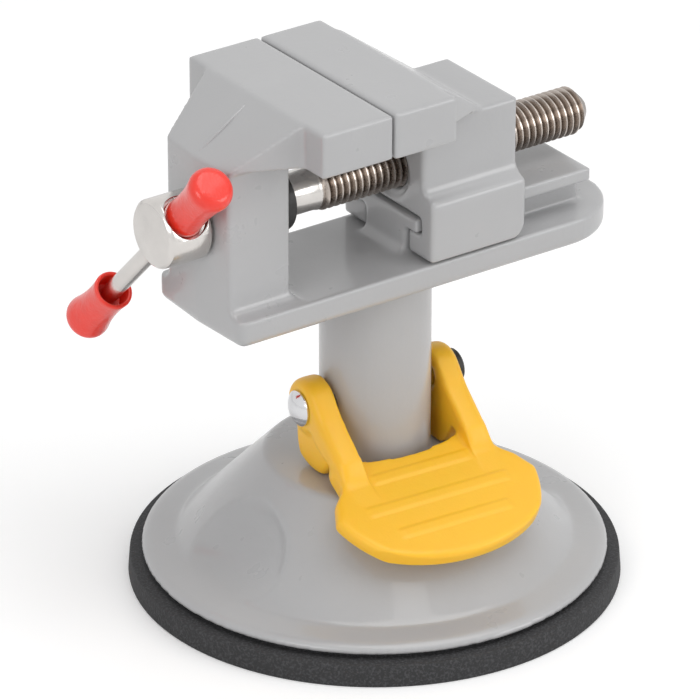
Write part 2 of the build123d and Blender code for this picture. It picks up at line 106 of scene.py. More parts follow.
def deselect() -> None:
    """Deselects every object."""
    bpy.ops.object.select_all(action="DESELECT")


def take(piece: bpy.types.Object) -> None:
    """Makes one object the only selected one, and the active one.

    Args:
        piece: The object to work on.
    """
    deselect()
    piece.select_set(True)
    bpy.context.view_layer.objects.active = piece


def edit(piece: bpy.types.Object) -> None:
    """Opens a piece in edit mode with everything selected.

    Args:
        piece: The mesh object to edit.
    """
    take(piece)
    bpy.ops.object.mode_set(mode="EDIT")
    bpy.ops.mesh.select_all(action="SELECT")


def leave() -> None:
    """Goes back to object mode."""
    bpy.ops.object.mode_set(mode="OBJECT")


def cut(place: float, way: int) -> None:
    """Cuts the opened mesh across the X axis and closes it there.

    Args:
        place: Where the cut stands on the X axis.
        way: 1 takes away what lies beyond the cut, -1 what lies before it.
    """
    bpy.ops.mesh.select_all(action="SELECT")
    bpy.ops.mesh.bisect(
        plane_co=(place, 0, 0), plane_no=(way, 0, 0), use_fill=True, clear_outer=True
    )


def join(piece: bpy.types.Object, other: bpy.types.Object) -> None:
    """Makes another object part of a piece.

    Args:
        piece: The mesh object that stays.
        other: The one that goes into it.
    """
    take(piece)
    other.select_set(True)
    bpy.ops.object.join()


def points(piece: bpy.types.Object) -> Iterator[bmesh.types.BMVert]:
    """Runs through a piece's points, and writes them back after the last one.

    Args:
        piece: The mesh object.

    Yields:
        Each point, whose place may be changed.
    """
    mesh = bmesh.new()
    mesh.from_mesh(piece.data)
    yield from mesh.verts
    mesh.to_mesh(piece.data)
    mesh.free()


def apply_modifier(piece: bpy.types.Object, kind: str, **settings: Any) -> None:
    """Adds a modifier with its settings and applies it.

    Args:
        piece: The mesh object.
        kind: Type of the modifier.
        **settings: Its properties by name.
    """
    take(piece)
    bpy.ops.object.modifier_add(type=kind)
    modifier = piece.modifiers[-1]
    for name, value in settings.items():
        setattr(modifier, name, value)
    bpy.ops.object.modifier_apply(modifier=modifier.name)


def smooth(piece: bpy.types.Object, degrees: float) -> None:
    """Shades a piece smooth, but for edges sharper than an angle.

    Args:
        piece: The mesh object.
        degrees: The angle from which an edge stays sharp.
    """
    take(piece)
    bpy.ops.object.shade_smooth_by_angle(angle=math.radians(degrees))


def solid_copy(source: bpy.types.Object, name: str) -> bpy.types.Object:
    """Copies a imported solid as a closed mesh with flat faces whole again.

    Args:
        source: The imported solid.
        name: Name of the copy.

    Returns:
        The copy, merged and without the triangles of flat faces.
    """
    piece = bpy.data.objects.new(name, source.data.copy())
    piece.data.name = name
    bpy.context.scene.collection.objects.link(piece)
    take(piece)
    if piece.data.has_custom_normals:
        bpy.ops.mesh.customdata_custom_splitnormals_clear()
    edit(piece)
    bpy.ops.mesh.remove_doubles(threshold=WELD)
    bpy.ops.mesh.dissolve_limited(angle_limit=FLAT)
    leave()
    return piece


def soften(piece: bpy.types.Object, width: float, steps: int, degrees: float) -> None:
    """Rounds every edge that is sharper than an angle.

    Args:
        piece: The mesh object.
        width: Width of the rounding in metres.
        steps: Faces across the rounding.
        degrees: The angle from which an edge counts as sharp.
    """
    apply_modifier(
        piece,
        "BEVEL",
        width=width,
        segments=steps,
        limit_method="ANGLE",
        angle_limit=math.radians(degrees),
        use_clamp_overlap=False,
        miter_outer="MITER_ARC",
    )
    smooth(piece, 40.0)


def ease(share: float) -> float:
    """Runs smoothly from 0 to 1 as a share does, and stays there outside."""
    share = min(1.0, max(0.0, share))
    return share * share * (3 - 2 * share)


def cast_skin(piece: bpy.types.Object, grain: float, passes: int) -> None:
    """Gives a piece the soft edges and corners of a casting or a moulding.

    Args:
        piece: The mesh object.
        grain: Size of its new faces in metres.
        passes: How often its edges are rubbed down.
    """
    apply_modifier(piece, "REMESH", mode="VOXEL", voxel_size=grain, use_smooth_shade=True)
    apply_modifier(piece, "SMOOTH", factor=0.5, iterations=passes)
    bpy.ops.object.shade_smooth()


def hand_over(
    piece: bpy.types.Object,
    body: Body,
    slot: Slot,
    material: bpy.types.Material,
    *nodes: str,
) -> None:
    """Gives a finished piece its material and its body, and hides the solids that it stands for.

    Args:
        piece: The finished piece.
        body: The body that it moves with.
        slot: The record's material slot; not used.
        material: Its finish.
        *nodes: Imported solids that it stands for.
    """
    piece.data.materials.clear()
    piece.data.materials.append(material)
    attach(piece, body.value)
    if nodes:
        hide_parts(*nodes)
    log.info("piece %s rides on %s, %d faces", piece.name, body.value, len(piece.data.polygons))


def paint_node(node: bpy.types.Object, material: bpy.types.Material) -> None:
    """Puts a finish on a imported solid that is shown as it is.

    Args:
        node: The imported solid.
        material: Its finish.
    """
    if not node.material_slots:
        node.data.materials.append(material)
    for place in node.material_slots:
        place.link = "OBJECT"
        place.material = material
    log.info("solid %s keeps its shape", node.name)


# ------------------------------------------------------------- shader groups


class Nodes:
    """Adds and links shader nodes in one tree."""

    def __init__(self, tree: bpy.types.NodeTree) -> None:
        """Keeps the tree that nodes go into.

        Args:
            tree: A material's or a group's node tree.
        """
        self.tree = tree

    def add(self, kind: str, **values: Any) -> bpy.types.Node:
        """Adds a node.

        Args:
            kind: The node's type.
            **values: Its properties, or its inputs by name with spaces as underscores.

        Returns:
            The new node.
        """
        node = self.tree.nodes.new(kind)
        for name, value in values.items():
            if hasattr(node, name):
                setattr(node, name, value)
            else:
                node.inputs[name.replace("_", " ")].default_value = value
        return node

    def link(self, source: bpy.types.NodeSocket, target: bpy.types.NodeSocket) -> None:
        """Joins an output to an input."""
        self.tree.links.new(source, target)

    def math(
        self, operation: str, a: Any, b: Any = 0.0, clamp: bool = False
    ) -> bpy.types.NodeSocket:
        """Adds a Math node.

        Args:
            operation: What it works out.
            a: First socket or number.
            b: Second socket or number.
            clamp: Whether its result stays between 0 and 1.

        Returns:
            Its output.
        """
        node = self.add("ShaderNodeMath", operation=operation, use_clamp=clamp)
        for index, value in enumerate((a, b)):
            if isinstance(value, bpy.types.NodeSocket):
                self.link(value, node.inputs[index])
            else:
                node.inputs[index].default_value = value
        return node.outputs[0]

    def radius(self, split: bpy.types.Node) -> bpy.types.NodeSocket:
        """Works out the distance from the X axis.

        Args:
            split: A node that splits the vector into X, Y and Z.

        Returns:
            The distance.
        """
        squares = [self.math("MULTIPLY", split.outputs[side], split.outputs[side]) for side in "YZ"]
        return self.math("SQRT", self.math("ADD", *squares))

    def ramp(
        self,
        value: bpy.types.NodeSocket,
        low: float,
        high: float,
        to_low: float = 0.0,
        to_high: float = 1.0,
    ) -> bpy.types.NodeSocket:
        """Maps a value from one range to another, clamped.

        Args:
            value: The socket to map.
            low: Start of the range that comes in.
            high: End of it.
            to_low: Start of the range that goes out.
            to_high: End of it.

        Returns:
            The mapped value.
        """
        ends = {"From_Min": low, "From_Max": high, "To_Min": to_low, "To_Max": to_high}
        node = self.add("ShaderNodeMapRange", **ends)
        self.link(value, node.inputs["Value"])
        return node.outputs["Result"]

    def mix(self, factor: Any, a: Any, b: Any) -> bpy.types.NodeSocket:
        """Mixes two colours.

        Args:
            factor: Share of the second, a socket or a number.
            a: First colour or socket.
            b: Second colour or socket.

        Returns:
            The mixed colour.
        """
        node = self.add("ShaderNodeMix", data_type="RGBA")
        sockets = {s.identifier: s for s in node.inputs}
        for key, value in (("Factor_Float", factor), ("A_Color", a), ("B_Color", b)):
            if isinstance(value, bpy.types.NodeSocket):
                self.link(value, sockets[key])
            else:
                sockets[key].default_value = value
        return next(s for s in node.outputs if s.identifier == "Result_Color")


def new_group(
    name: str, inputs: dict[str, float], output: str
) -> tuple[bpy.types.NodeTree, Nodes, bpy.types.Node, bpy.types.Node]:
    """Starts a shader group that reads Object coordinates.

    Args:
        name: Name of the group.
        inputs: Its number inputs and their defaults.
        output: Its number output.

    Returns:
        The group, its node adder, and its input and output nodes.
    """
    group = bpy.data.node_groups.new(name, "ShaderNodeTree")
    group.interface.new_socket("Vector", in_out="INPUT", socket_type="NodeSocketVector")
    for key, value in inputs.items():
        socket = group.interface.new_socket(key, in_out="INPUT", socket_type="NodeSocketFloat")
        socket.default_value = value
    group.interface.new_socket(output, in_out="OUTPUT", socket_type="NodeSocketFloat")
    nodes = Nodes(group)
    return group, nodes, nodes.add("NodeGroupInput"), nodes.add("NodeGroupOutput")


class Effects:
    """The shader groups that several finishes share."""

    def __init__(self) -> None:
        """Builds every group once."""
        self.flow = self._flow()
        self.cloud = self._cloud()
        self.specks = self._specks()
        self.turning = self._turning()
        self.radius = self._radius()

    def _flow(self) -> bpy.types.NodeTree:
        """Makes the slow waves and fine grain of a sprayed or moulded surface.

        Returns:
            The group, which gives a height.
        """
        scales = {"Wave Scale": 90.0, "Grain Scale": 900.0}
        group, n, start, end = new_group("surface_flow", {**scales, "Grain Share": 0.3}, "Height")
        wave = n.add("ShaderNodeTexNoise", Detail=2.0, Roughness=0.45)
        grain = n.add("ShaderNodeTexNoise", Detail=1.0, Roughness=0.5)
        for node, scale in zip((wave, grain), scales):
            n.link(start.outputs["Vector"], node.inputs["Vector"])
            n.link(start.outputs[scale], node.inputs["Scale"])
        share = n.math("MULTIPLY", grain.outputs["Fac"], start.outputs["Grain Share"])
        n.link(n.math("ADD", wave.outputs["Fac"], share), end.inputs["Height"])
        return group

    def _cloud(self) -> bpy.types.NodeTree:
        """Makes soft uneven patches.

        Returns:
            The group, which gives a value round 0.5.
        """
        group, n, start, end = new_group("soft_clouds", {"Scale": 40.0, "Contrast": 1.0}, "Value")
        noise = n.add("ShaderNodeTexNoise", Detail=3.0, Roughness=0.55)
        for name in ("Vector", "Scale"):
            n.link(start.outputs[name], noise.inputs[name])
        centred = n.math("SUBTRACT", noise.outputs["Fac"], 0.5)
        off = n.math("MULTIPLY", centred, start.outputs["Contrast"])
        n.link(n.math("ADD", off, 0.5, clamp=True), end.inputs["Value"])
        return group

    def _specks(self) -> bpy.types.NodeTree:
        """Makes a few small round specks.

        Returns:
            The group, which gives a mask.
        """
        group, n, start, end = new_group(
            "specks", {"Scale": 120.0, "Amount": 0.05, "Size": 0.1}, "Mask"
        )
        cells = n.add("ShaderNodeTexVoronoi", feature="F1")
        for name in ("Vector", "Scale"):
            n.link(start.outputs[name], cells.inputs[name])
        split = n.add("ShaderNodeSeparateColor")
        n.link(cells.outputs["Color"], split.inputs["Color"])
        chosen = n.math("LESS_THAN", split.outputs["Red"], start.outputs["Amount"])
        size = n.math("MULTIPLY", split.outputs["Green"], start.outputs["Size"])
        near = n.math("LESS_THAN", cells.outputs["Distance"], size)
        n.link(n.math("MULTIPLY", chosen, near), end.inputs["Mask"])
        return group

    def _radius(self) -> bpy.types.NodeTree:
        """Measures the distance from the X axis.

        Returns:
            The group, which gives the distance.
        """
        group, n, start, end = new_group("axis_distance", {}, "Radius")
        split = n.add("ShaderNodeSeparateXYZ")
        n.link(start.outputs["Vector"], split.inputs["Vector"])
        n.link(n.radius(split), end.inputs["Radius"])
        return group

    def _turning(self) -> bpy.types.NodeTree:
        """Makes the fine rings of a turned surface, round the X axis.

        Returns:
            The group, which gives a height.
        """
        group, n, start, end = new_group(
            "turning_marks", {"Scale": 2500.0, "Stretch": 0.03}, "Height"
        )
        split = n.add("ShaderNodeSeparateXYZ")
        n.link(start.outputs["Vector"], split.inputs["Vector"])
        radius = n.radius(split)
        rings = n.add("ShaderNodeCombineXYZ")
        n.link(split.outputs["X"], rings.inputs["X"])
        n.link(radius, rings.inputs["Y"])
        n.link(n.math("MULTIPLY", split.outputs["Z"], start.outputs["Stretch"]), rings.inputs["Z"])
        noise = n.add("ShaderNodeTexNoise", Detail=2.0, Roughness=0.6)
        n.link(rings.outputs["Vector"], noise.inputs["Vector"])
        n.link(start.outputs["Scale"], noise.inputs["Scale"])
        n.link(noise.outputs["Fac"], end.inputs["Height"])
        return group


# ------------------------------------------------------------------ finishes


def srgb(red: int, green: int, blue: int) -> Colour:
    """Turns a screen colour into the linear one that shaders take.

    Args:
        red: Red from 0 to 255.
        green: Green from 0 to 255.
        blue: Blue from 0 to 255.

    Returns:
        The linear colour with an alpha of 1.
    """
    parts = [c / 255 for c in (red, green, blue)]
    low = [p / 12.92 if p <= 0.04045 else ((p + 0.055) / 1.055) ** 2.4 for p in parts]
    return (low[0], low[1], low[2], 1.0)


def toned(colour: Colour, factor: float) -> Colour:
    """Makes a colour lighter or darker.

    Args:
        colour: The linear colour.
        factor: What its red, green and blue are multiplied by.

    Returns:
        The new colour, with nothing in it above 1.
    """
    red, green, blue = (min(1.0, c * factor) for c in colour[:3])
    return (red, green, blue, 1.0)


class Draft:
    """A new material with its shader, its coordinates and the groups placed in it."""

    def __init__(self, name: str, **shader: Any) -> None:
        """Starts the material.

        Args:
            name: Its name.
            **shader: Plain inputs of the shader, with spaces as underscores.
        """
        self.material = bpy.data.materials.new(name)
        self.material.use_nodes = True
        self.nodes = Nodes(self.material.node_tree)
        self.shader = self.material.node_tree.nodes["Principled BSDF"]
        for key, value in shader.items():
            self.shader.inputs[key.replace("_", " ")].default_value = value
        self.place = self.nodes.add("ShaderNodeTexCoord").outputs["Object"]

    def group(
        self, tree: bpy.types.NodeTree, centre: Point | None = None, **values: float
    ) -> bpy.types.NodeSocket:
        """Places a shader group.

        Args:
            tree: The group.
            centre: A point that its vector is counted from.
            **values: Its inputs, with spaces as underscores.

        Returns:
            Its first output.
        """
        node = self.nodes.add("ShaderNodeGroup", node_tree=tree)
        for key, value in values.items():
            node.inputs[key.replace("_", " ")].default_value = value
        source = self.place
        if centre is not None:
            mapping = self.nodes.add("ShaderNodeMapping")
            mapping.inputs["Location"].default_value = -Vector(centre)
            self.nodes.link(self.place, mapping.inputs["Vector"])
            source = mapping.outputs["Vector"]
        self.nodes.link(source, node.inputs["Vector"])
        return node.outputs[0]

    def feed(self, socket: str, value: bpy.types.NodeSocket) -> None:
        """Joins a value to the shader's socket."""
        self.nodes.link(value, self.shader.inputs[socket])

    def rough(self, cloud: bpy.types.NodeSocket, low: float, high: float) -> None:
        """Lets the roughness follow soft patches."""
        self.feed("Roughness", self.nodes.ramp(cloud, *CLOUD_RANGE, low, high))

    def bump(self, height: bpy.types.NodeSocket, distance: float) -> None:
        """Bumps the surface.

        Args:
            height: The height that it follows.
            distance: How far the height's range stands, in metres.
        """
        node = self.nodes.add("ShaderNodeBump", Distance=distance, Strength=1.0)
        self.nodes.link(height, node.inputs["Height"])
        self.feed("Normal", node.outputs["Normal"])


@dataclass(frozen=True)
class CastPaint:
    """Gloss grey paint on a casting: slow flow, soft patches and a few inclusions."""

    colour: Colour = field(default_factory=lambda: srgb(176, 176, 177))
    speck: Colour = field(default_factory=lambda: srgb(110, 112, 114))
    roughness: float = 0.3

    def build(self, effects: Effects) -> bpy.types.Material:
        """Makes the material.

        Args:
            effects: The shared shader groups.

        Returns:
            The material.
        """
        d = Draft("grey_cast_paint", IOR=1.5, Coat_Weight=0.5, Coat_Roughness=0.07, Coat_IOR=1.5)
        cloud = d.group(effects.cloud, Scale=55.0, Contrast=1.2)
        tint = d.nodes.mix(cloud, toned(self.colour, 0.965), toned(self.colour, 1.03))
        specks = d.group(effects.specks, Scale=135.0, Amount=0.02, Size=0.075)
        d.feed("Base Color", d.nodes.mix(specks, tint, self.speck))
        patches = d.group(effects.cloud, Scale=160.0, Contrast=1.0)
        d.rough(patches, self.roughness - 0.05, self.roughness + 0.06)
        flow = d.group(effects.flow, Wave_Scale=240.0, Grain_Scale=1500.0, Grain_Share=0.25)
        d.bump(flow, 0.06 * MM)
        return d.material


@dataclass(frozen=True)
class MouldedLever:
    """Yellow skin of the lever, with a soft gloss."""

    colour: Colour = field(default_factory=lambda: srgb(255, 193, 36))
    glow: Point = (1.0, 0.42, 0.06)

    def build(self, effects: Effects) -> bpy.types.Material:
        """Makes the material.

        Args:
            effects: The shared shader groups.

        Returns:
            The material.
        """
        d = Draft(
            "yellow_moulding",
            IOR=1.5,
            Subsurface_Weight=0.22,
            Subsurface_Scale=2.2 * MM,
            Subsurface_Radius=self.glow,
            Coat_Weight=0.12,
            Coat_Roughness=0.25,
        )
        cloud = d.group(effects.cloud, Scale=70.0, Contrast=1.0)
        tint = d.nodes.mix(cloud, toned(self.colour, 0.97), toned(self.colour, 1.02))
        d.feed("Base Color", tint)
        d.rough(d.group(effects.cloud, Scale=260.0, Contrast=1.0), 0.36, 0.46)
        flow = d.group(effects.flow, Wave_Scale=320.0, Grain_Scale=2600.0, Grain_Share=0.5)
        d.bump(flow, 0.04 * MM)
        return d.material


@dataclass(frozen=True)
class Plating:
    """Bright plated or bare steel with the marks that turning left."""

    name: str
    colour: Colour
    roughness: float
    marks: float
    centre: Point = (0.0, 0.0, SCREW_Z)

    def build(self, effects: Effects) -> bpy.types.Material:
        """Makes the material.

        Args:
            effects: The shared shader groups.

        Returns:
            The material.
        """
        d = Draft(self.name, Metallic=1.0)
        d.feed("Base Color", self.shade(d, effects))
        patches = d.group(effects.cloud, Scale=700.0, Contrast=1.4)
        d.rough(patches, self.roughness * 0.75, self.roughness * 1.35)
        d.bump(d.group(effects.turning, centre=self.centre, Scale=2600.0), self.marks)
        return d.material

    def shade(self, draft: Draft, effects: Effects) -> bpy.types.NodeSocket:
        """Colours the metal, a little uneven.

        Args:
            draft: The material that is being made.
            effects: The shared shader groups.

        Returns:
            The colour.
        """
        cloud = draft.group(effects.cloud, Scale=220.0, Contrast=1.3)
        return draft.nodes.mix(cloud, toned(self.colour, 0.8), self.colour)


@dataclass(frozen=True)
class ThreadPlating(Plating):
    """Plating of the cut thread, with painted shade darkening the grooves."""

    # painted shade: the darker colour of the thread's grooves stands in for the shade that falls
    # there
    painted_groove_shade: Colour = field(default_factory=lambda: srgb(132, 120, 110))
    root: float = 3.2 * MM
    crest: float = 3.92 * MM

    def shade(self, draft: Draft, effects: Effects) -> bpy.types.NodeSocket:
        """Colours the thread by its distance from the screw's axis, darker in the grooves as
        painted shade.

        Args:
            draft: The material that is being made.
            effects: The shared shader groups.

        Returns:
            The colour.
        """
        plain = super().shade(draft, effects)
        radius = draft.group(effects.radius, centre=self.centre)
        # painted shade: the grooves take the darker colour, the crests the plain plating
        return draft.nodes.mix(draft.nodes.ramp(radius, self.root, self.crest), self.painted_groove_shade, plain)


@dataclass(frozen=True)
class SoftVinyl:
    """Red dipped vinyl of the caps."""

    colour: Colour = field(default_factory=lambda: srgb(246, 50, 30))
    glow: Point = (1.0, 0.25, 0.18)

    def build(self, effects: Effects) -> bpy.types.Material:
        """Makes the material.

        Args:
            effects: The shared shader groups.

        Returns:
            The material.
        """
        d = Draft(
            "red_vinyl",
            IOR=1.48,
            Subsurface_Weight=0.25,
            Subsurface_Scale=1.8 * MM,
            Subsurface_Radius=self.glow,
            Coat_Weight=0.6,
            Coat_Roughness=0.08,
        )
        cloud = d.group(effects.cloud, Scale=300.0, Contrast=1.6)
        d.feed("Base Color", d.nodes.mix(cloud, toned(self.colour, 0.9), self.colour))
        d.rough(cloud, 0.3, 0.45)
        flow = d.group(effects.flow, Wave_Scale=520.0, Grain_Scale=2400.0, Grain_Share=0.3)
        d.bump(flow, 0.16 * MM)
        return d.material


@dataclass(frozen=True)
class BlackRubber:
    """Black rubber with a fine light speckle and dust in its skin."""

    colour: Colour = field(default_factory=lambda: srgb(43, 43, 44))
    light: Colour = field(default_factory=lambda: srgb(72, 72, 74))

    def build(self, effects: Effects) -> bpy.types.Material:
        """Makes the material.

        Args:
            effects: The shared shader groups.

        Returns:
            The material.
        """
        d = Draft("black_rubber", IOR=1.45)
        cloud = d.group(effects.cloud, Scale=2400.0, Contrast=3.2)
        speckle = d.nodes.ramp(cloud, 0.35, 0.95)
        d.feed("Base Color", d.nodes.mix(speckle, self.colour, self.light))
        d.rough(cloud, 0.66, 0.86)
        flow = d.group(effects.flow, Wave_Scale=900.0, Grain_Scale=3000.0, Grain_Share=0.8)
        d.bump(flow, 0.12 * MM)
        return d.material


@dataclass(frozen=True)
class BlackRing:
    """Satin black plastic of the thrust ring and of the pin's cap."""

    colour: Colour = field(default_factory=lambda: srgb(34, 33, 33))

    def build(self, effects: Effects) -> bpy.types.Material:
        """Makes the material.

        Args:
            effects: The shared shader groups.

        Returns:
            The material.
        """
        d = Draft("satin_black", IOR=1.5)
        cloud = d.group(effects.cloud, Scale=500.0, Contrast=1.4)
        d.feed("Base Color", d.nodes.mix(cloud, self.colour, toned(self.colour, 1.6)))
        d.rough(cloud, 0.36, 0.52)
        flow = d.group(effects.flow, Wave_Scale=700.0, Grain_Scale=3000.0, Grain_Share=0.5)
        d.bump(flow, 0.06 * MM)
        return d.material


class Finishes:
    """Every finish of the vise, built once."""

    def __init__(self) -> None:
        """Builds the materials from the shared groups."""
        effects = Effects()
        pin, middle = (0.0, 0.0, PIN_Z), (0.0, 0.0, 0.0)
        nickel = Plating("bright_nickel", srgb(230, 226, 222), 0.2, 0.012 * MM)
        thread = ThreadPlating("thread_nickel", srgb(206, 196, 188), 0.24, 0.01 * MM)
        chrome = Plating("polished_chrome", srgb(232, 232, 234), 0.12, 0.004 * MM, pin)
        steel = Plating("plain_steel", srgb(176, 174, 172), 0.32, 0.01 * MM, middle)
        self.paint = CastPaint().build(effects)
        self.lever = MouldedLever().build(effects)
        self.nickel = nickel.build(effects)
        self.thread = thread.build(effects)
        self.chrome = chrome.build(effects)
        self.steel = steel.build(effects)
        self.vinyl = SoftVinyl().build(effects)
        self.rubber = BlackRubber().build(effects)
        self.ring = BlackRing().build(effects)


# ------------------------------------------------------------- sub-assemblies


@dataclass
class Assembly:
    """What every sub-assembly is made from."""

    nodes: dict[str, bpy.types.Object]
    finishes: Finishes


@dataclass
class ViseHead(Assembly):
    """The two grey castings of the head, with the soft edges of a painted casting."""

    grain: float = 0.38 * MM
    passes: int = 6
    ridge_ends: tuple[Point, Point] = (
        (-24.6 * MM, 0.3 * MM, 88.45 * MM),
        (-33.0 * MM, 0.4 * MM, 82.87 * MM),
    )
    ridge_radius: float = 0.36 * MM
    ridge_sunk: float = 0.3 * MM
    ridge_bow: float = 0.4 * MM
    handle_share: float = 0.3

    def parting_ridge(self) -> bpy.types.Object:
        """Makes the thin ridge that the mould left on the slope behind the fixed jaw.

        Returns:
            The ridge as a closed mesh, sunk in the slope at both ends.
        """
        top, foot = (Vector(end) for end in self.ridge_ends)
        out = (foot - top).cross(Vector((0, 1, 0))).normalized()
        out = out if out.z > 0 else -out
        deselect()
        bpy.ops.curve.primitive_bezier_curve_add(location=(0, 0, 0))
        ridge = bpy.context.active_object
        ridge.name = "parting_ridge"
        bow = Vector((0, self.ridge_bow, 0))
        raised = out * (self.ridge_sunk * self.handle_share)
        curve = ridge.data.splines[0].bezier_points
        for point, end, other in zip(curve, (top, foot), (foot, top)):
            point.handle_left_type = point.handle_right_type = "FREE"
            point.co = end - out * self.ridge_sunk
            reach = end.lerp(other, self.handle_share) + raised - bow
            point.handle_left = point.handle_right = reach
        ridge.data.bevel_depth = self.ridge_radius
        ridge.data.use_fill_caps = True
        take(ridge)
        bpy.ops.object.convert(target="MESH")
        bpy.ops.object.shade_smooth()
        return ridge

    def build(self) -> None:
        """Makes the fixed body and the moving jaw."""
        for node, name, body in (
            ("vise_body", "fixed_casting", Body.BASE),
            ("moving_jaw", "sliding_casting", Body.JAW),
        ):
            piece = solid_copy(self.nodes[node], name)
            cast_skin(piece, self.grain, self.passes)
            if body is Body.BASE:
                join(piece, self.parting_ridge())
            hand_over(piece, body, Slot.GREY_PAINT, self.finishes.paint, node)


@dataclass
class LeadScrew(Assembly):
    """Plated screw with its head, journal and cut thread, and the ring behind the bearing."""

    pitch: float = 1.25 * MM
    crest: float = 3.95 * MM
    root: float = 3.2 * MM
    crest_flat: float = 0.22 * MM
    root_flat: float = 0.3 * MM
    neck: float = 3.5 * MM
    cut_x: float = -12.6 * MM
    ramp_x: float = -10.9 * MM
    thread_x: float = -11.3 * MM
    neck_x: float = -13.1 * MM
    end_x: float = 40.0 * MM
    end_chamfer: float = 1.9 * MM
    steps: int = 40
    shank_edge: float = 0.12 * MM

    def outline(self, x: float) -> float:
        """Radius of the plain screw at x.

        Args:
            x: Place along the screw.

        Returns:
            The radius that the thread's crests follow.
        """
        if x < self.thread_x:
            share = max(0.0, (x - self.neck_x) / (self.thread_x - self.neck_x))
            return self.neck + share * (self.crest - self.neck)
        return min(self.crest, self.crest - (x - self.end_x + self.end_chamfer))

    def profile(self, start: float) -> bpy.types.Object:
        """Draws the profile of one pitch.

        Args:
            start: Where it begins on the X axis.

        Returns:
            The profile as a row of edges, with its origin on the screw's axis.
        """
        deselect()
        bpy.ops.mesh.primitive_plane_add(size=MM, location=(start, 0, SCREW_Z))
        piece = bpy.context.active_object
        piece.name = piece.data.name = "screw_thread"
        flank = (self.pitch - self.crest_flat - self.root_flat) / 2
        height = self.crest - self.root
        edit(piece)
        bpy.ops.mesh.merge(type="CENTER")
        bpy.ops.transform.translate(value=(0, 0, self.root))
        for along, out in (
            (self.root_flat, 0.0),
            (flank, height),
            (self.crest_flat, 0.0),
            (flank, -height),
        ):
            bpy.ops.mesh.extrude_region_move(TRANSFORM_OT_translate={"value": (along, 0, out)})
        leave()
        return piece

    def run_out(self, piece: bpy.types.Object) -> None:
        """Lets the grooves fade out towards the shank, and chamfers the far end.

        Args:
            piece: The thread's mesh.
        """
        for v in points(piece):
            arm = Vector((0, v.co.y, v.co.z - SCREW_Z))
            if arm.length < 0.5 * self.root:
                continue
            if v.co.x > self.end_x - self.end_chamfer:
                radius = min(self.outline(v.co.x), arm.length)
            else:
                share = min(1.0, max(0.0, (v.co.x - self.cut_x) / (self.ramp_x - self.cut_x)))
                radius = self.outline(v.co.x) - (self.crest - arm.length) * share
            arm *= radius / arm.length
            v.co.y, v.co.z = arm.y, SCREW_Z + arm.z

    def thread(self) -> bpy.types.Object:
        """Turns the profile of one pitch into the whole thread.

        Returns:
            The threaded length as a closed mesh.
        """
        start = self.cut_x - 2 * self.pitch
        piece = self.profile(start)
        apply_modifier(
            piece,
            "SCREW",
            axis="X",
            screw_offset=self.pitch,
            iterations=math.ceil((self.end_x - start) / self.pitch) + 2,
            steps=self.steps,
            render_steps=self.steps,
            use_merge_vertices=False,
            angle=2 * math.pi,
        )
        bpy.ops.object.transform_apply(location=True, rotation=False, scale=False)
        edit(piece)
        bpy.ops.mesh.remove_doubles(threshold=WELD)
        cut(self.cut_x, -1)
        cut(self.end_x, 1)
        leave()
        self.run_out(piece)
        edit(piece)
        bpy.ops.mesh.normals_make_consistent(inside=False)
        leave()
        smooth(piece, 38.0)
        return piece

    def build(self) -> None:
        """Makes the screw and dresses the ring."""
        shank = solid_copy(self.nodes["lead_screw"], "screw_shank")
        edit(shank)
        cut(self.cut_x, 1)
        leave()
        soften(shank, self.shank_edge, 2, 24.0)
        hand_over(shank, Body.SCREW, Slot.NICKEL, self.finishes.nickel, "lead_screw")
        hand_over(self.thread(), Body.SCREW, Slot.NICKEL, self.finishes.thread, "lead_screw")
        paint_node(self.nodes["thrust_collar"], self.finishes.ring)


@dataclass
class TommyBar(Assembly):
    """Plated rod through the screw's head, with a red cap on each end."""

    cap_edge: float = 0.25 * MM

    def build(self) -> None:
        """Makes the caps and dresses the rod."""
        paint_node(self.nodes["tommy_bar"], self.finishes.nickel)
        for end in ("upper", "lower"):
            node = f"bar_cap_{end}"
            piece = solid_copy(self.nodes[node], f"{end}_vinyl_cap")
            soften(piece, self.cap_edge, 3, 30.0)
            hand_over(piece, Body.BAR, Slot.RED_CAP, self.finishes.vinyl, node)


@dataclass
class SuctionBase(Assembly):
    """Bell casting with its column, and the rubber disc with what sits in it."""

    grain: float = 0.47 * MM
    passes: int = 6
    middle: float = 24.0 * MM
    hollow: float = 1.6 * MM
    keep: float = 0.543
    cutter_sides: int = 128
    cutter_depth: float = 40.0 * MM
    rubber_edge: float = 0.3 * MM

    def rubber(self, name: str, way: str) -> None:
        """Makes the ring of the disc, or its middle, which on the real vise goes down with the
        post; both ride on the base here.

        Args:
            name: Name of the piece.
            way: What the cut leaves, DIFFERENCE for the ring and INTERSECT for the middle.
        """
        disc = solid_copy(self.nodes["suction_cup"], name)
        deselect()
        bpy.ops.mesh.primitive_cylinder_add(
            vertices=self.cutter_sides,
            radius=self.middle,
            depth=self.cutter_depth,
            location=(0, 0, 0),
        )
        cutter = bpy.context.active_object
        apply_modifier(disc, "BOOLEAN", object=cutter, operation=way, solver="EXACT")
        bpy.data.objects.remove(cutter)
        soften(disc, self.rubber_edge, 3, 30.0)
        hand_over(disc, Body.BASE, Slot.RUBBER, self.finishes.rubber, "suction_cup")
        if way == "INTERSECT":
            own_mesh(disc)

    def build(self) -> None:
        """Makes the bell and the rubber, and dresses what sits in them."""
        bell = solid_copy(self.nodes["base_casting"], "bell_casting")
        cast_skin(bell, self.grain, self.passes)
        hand_over(bell, Body.BASE, Slot.GREY_PAINT, self.finishes.paint, "base_casting")
        for name, way in (("rubber_disc", "DIFFERENCE"), ("rubber_middle", "INTERSECT")):
            self.rubber(name, way)
        for node in ("cup_insert", "pull_rod", "return_spring", "head_screw", "head_washer"):
            paint_node(self.nodes[node], self.finishes.steel)


